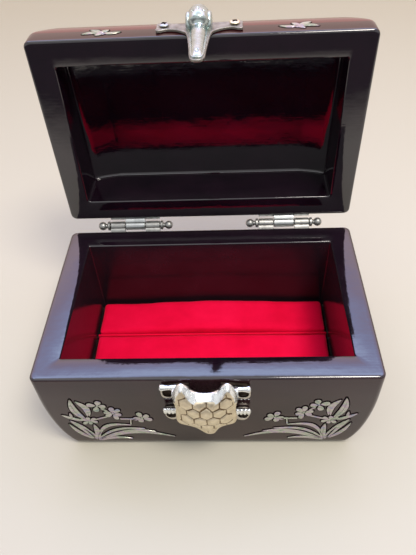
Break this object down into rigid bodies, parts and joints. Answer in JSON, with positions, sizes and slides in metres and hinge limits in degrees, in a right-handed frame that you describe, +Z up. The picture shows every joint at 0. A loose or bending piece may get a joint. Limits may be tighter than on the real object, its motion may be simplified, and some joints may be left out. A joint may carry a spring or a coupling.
{
  "type": "jewelry box",
  "caption": "Small lacquered box with a hinged domed lid, ring cushion, pearl inlay sprays and a turtle-shaped front latch.",
  "frame": {"origin": "centre of the underside of the base, on the surface that the box stands on", "axes": "+Z up, -Y towards the front with the latch, +X to the right seen from the front"},
  "size_m": [0.127, 0.135, 0.1399],
  "materials": {
    "lacquered_wood": "deep gloss black-cherry lacquer",
    "red_velvet": "short-pile velvet",
    "card": "plain",
    "felt": "felt",
    "pewter_metal": "aged nickel, satin",
    "bright_metal": "bright cast nickel, lightly worn",
    "champagne_metal": "pale gold, satin",
    "pearl_inlay": "iridescent shell under clear lacquer"
  },
  "bodies": {
    "base": {"base_back_panel": "lacquered_wood", "base_floor": "lacquered_wood", "base_front_panel": "lacquered_wood", "base_inlay_left": "pearl_inlay", "base_inlay_right": "pearl_inlay", "base_left_end": "lacquered_wood", "base_right_end": "lacquered_wood", "bottom_felt": "felt", "cushion_board": "card", "cushion_roll_front": "red_velvet", "cushion_roll_middle": "red_velvet", "cushion_roll_rear": "red_velvet", "hinge_left_base_leaf": "pewter_metal", "hinge_left_base_screw_1": "pewter_metal", "hinge_left_base_screw_2": "pewter_metal", "hinge_left_finial": "pewter_metal", "hinge_left_pin": "pewter_metal", "hinge_right_base_leaf": "pewter_metal", "hinge_right_base_screw_1": "pewter_metal", "hinge_right_base_screw_2": "pewter_metal", "hinge_right_finial": "pewter_metal", "hinge_right_pin": "pewter_metal", "latch_backplate": "bright_metal", "latch_pivot_pin_left": "bright_metal", "latch_pivot_pin_right": "bright_metal", "latch_screw_1": "bright_metal", "latch_screw_2": "bright_metal", "latch_spring": "bright_metal"},
    "lid": {"hasp_head": "bright_metal", "hasp_plate": "bright_metal", "hasp_screw_1": "bright_metal", "hasp_screw_2": "bright_metal", "hinge_left_lid_leaf": "pewter_metal", "hinge_left_lid_screw_1": "pewter_metal", "hinge_left_lid_screw_2": "pewter_metal", "hinge_right_lid_leaf": "pewter_metal", "hinge_right_lid_screw_1": "pewter_metal", "hinge_right_lid_screw_2": "pewter_metal", "lid_back_panel": "lacquered_wood", "lid_front_panel": "lacquered_wood", "lid_inlay_left": "pearl_inlay", "lid_inlay_right": "pearl_inlay", "lid_left_end": "lacquered_wood", "lid_right_end": "lacquered_wood", "lid_top_panel": "lacquered_wood"},
    "turtle": {"turtle_shell": "champagne_metal"}
  },
  "joints": [
    {"name": "lid_hinge", "type": "hinge", "parent": "base", "child": "lid", "pos_m": [0, 0.0445, 0.0463], "axis": [1, 0, 0], "range_deg": [0, 90]},
    {"name": "turtle_lift", "type": "hinge", "parent": "base", "child": "turtle", "pos_m": [0, -0.0443, 0.0433], "axis": [-1, 0, 0], "range_deg": [0, 12], "stiffness_Nm_per_rad": 0.02}
  ]
}
